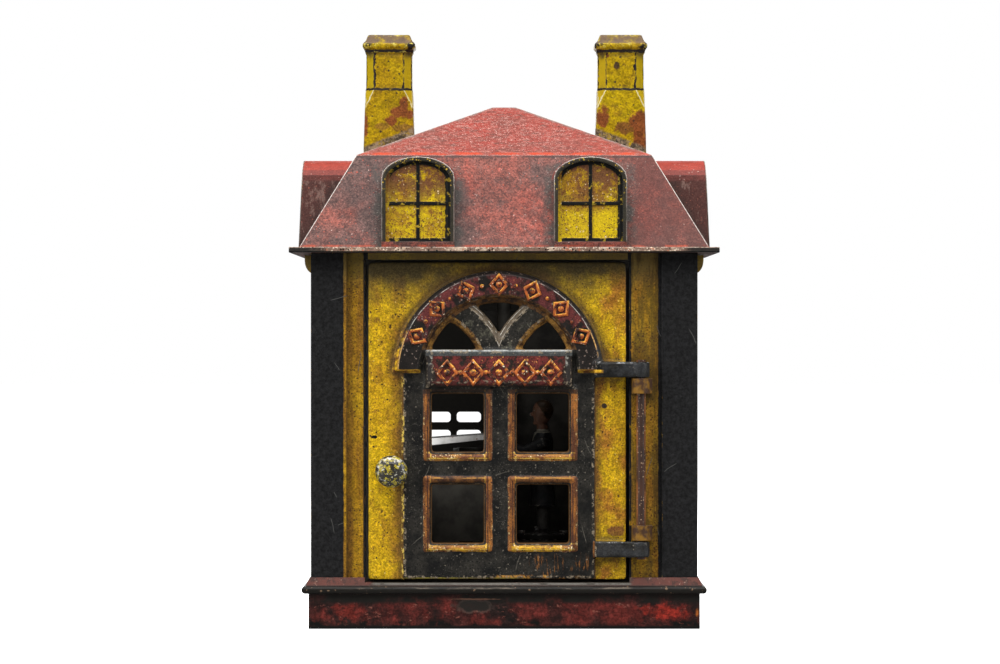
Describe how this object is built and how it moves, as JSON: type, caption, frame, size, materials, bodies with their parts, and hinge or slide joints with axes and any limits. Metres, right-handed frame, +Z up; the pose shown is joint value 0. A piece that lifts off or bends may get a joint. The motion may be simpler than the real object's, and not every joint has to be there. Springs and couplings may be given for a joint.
{
  "type": "cast iron mechanical bank",
  "caption": "Mansard-roofed bank house of painted cast iron whose spring-closed glassless front door turns a teller and tray towards the doorway or over the vault.",
  "frame": {"origin": "under the middle of the eave and of the base, on the standing surface", "axes": "+Z up, +X to the right seen from the front, the door faces -Y"},
  "size_m": [0.1196, 0.1196, 0.1686],
  "materials": {
    "red_paint": "old brick red paint, worn and grimy",
    "yellow_paint": "old ochre yellow paint, soiled and speckled with rust",
    "black_paint": "old black paint, half gloss",
    "knob_paint": "worn paint over cast iron",
    "teller_paint": "dull dark paint",
    "bare_iron": "bare sand-cast iron, browned",
    "steel": "dull steel, lightly rusted",
    "tray_tin": "plain sheet iron, worn bright",
    "brass": "tarnished"
  },
  "bodies": {
    "house": {"base": "red_paint", "bottom_plate": "bare_iron", "tie_screw": "steel", "front_wall": "yellow_paint", "rear_wall": "yellow_paint", "left_wall": "yellow_paint", "right_wall": "yellow_paint", "roof": "red_paint", "left_chimney": "yellow_paint", "right_chimney": "yellow_paint", "hinge_pin": "steel", "vault_screen": "bare_iron", "screen_screws": "steel", "teller_post": "steel", "return_spring": "steel"},
    "door_leaf": {"door": "black_paint", "door_knob": "knob_paint", "door_link_pin": "steel"},
    "drive_link": {"link": "steel"},
    "teller_group": {"turntable": "bare_iron", "teller_link_pin": "steel", "teller": "teller_paint", "teller_rivets": "steel", "coin_tray": "tray_tin", "tray_rivets": "brass"}
  },
  "joints": [
    {"name": "door_swing", "type": "hinge", "parent": "house", "child": "door_leaf", "pos_m": [0.0381, -0.0556, 0.0472], "axis": [0, 0, 1], "range_deg": [0, 95], "stiffness_Nm_per_rad": 0.01, "springref_deg": -28.65},
    {"name": "teller_turn", "type": "hinge", "parent": "house", "child": "teller_group", "pos_m": [0.011, -0.022, 0.0186], "axis": [0, 0, 1], "range_deg": [0, 95], "deforming": ["return_spring"]},
    {"name": "link_swing", "type": "hinge", "parent": "door_leaf", "child": "drive_link", "pos_m": [0.0199, -0.0471, 0.0212], "axis": [0, 0, 1], "range_deg": [-95, 0]}
  ],
  "couplings": [
    {"joint": "teller_turn", "follows": "door_swing", "ratio": 1},
    {"joint": "link_swing", "follows": "door_swing", "ratio": -1}
  ]
}
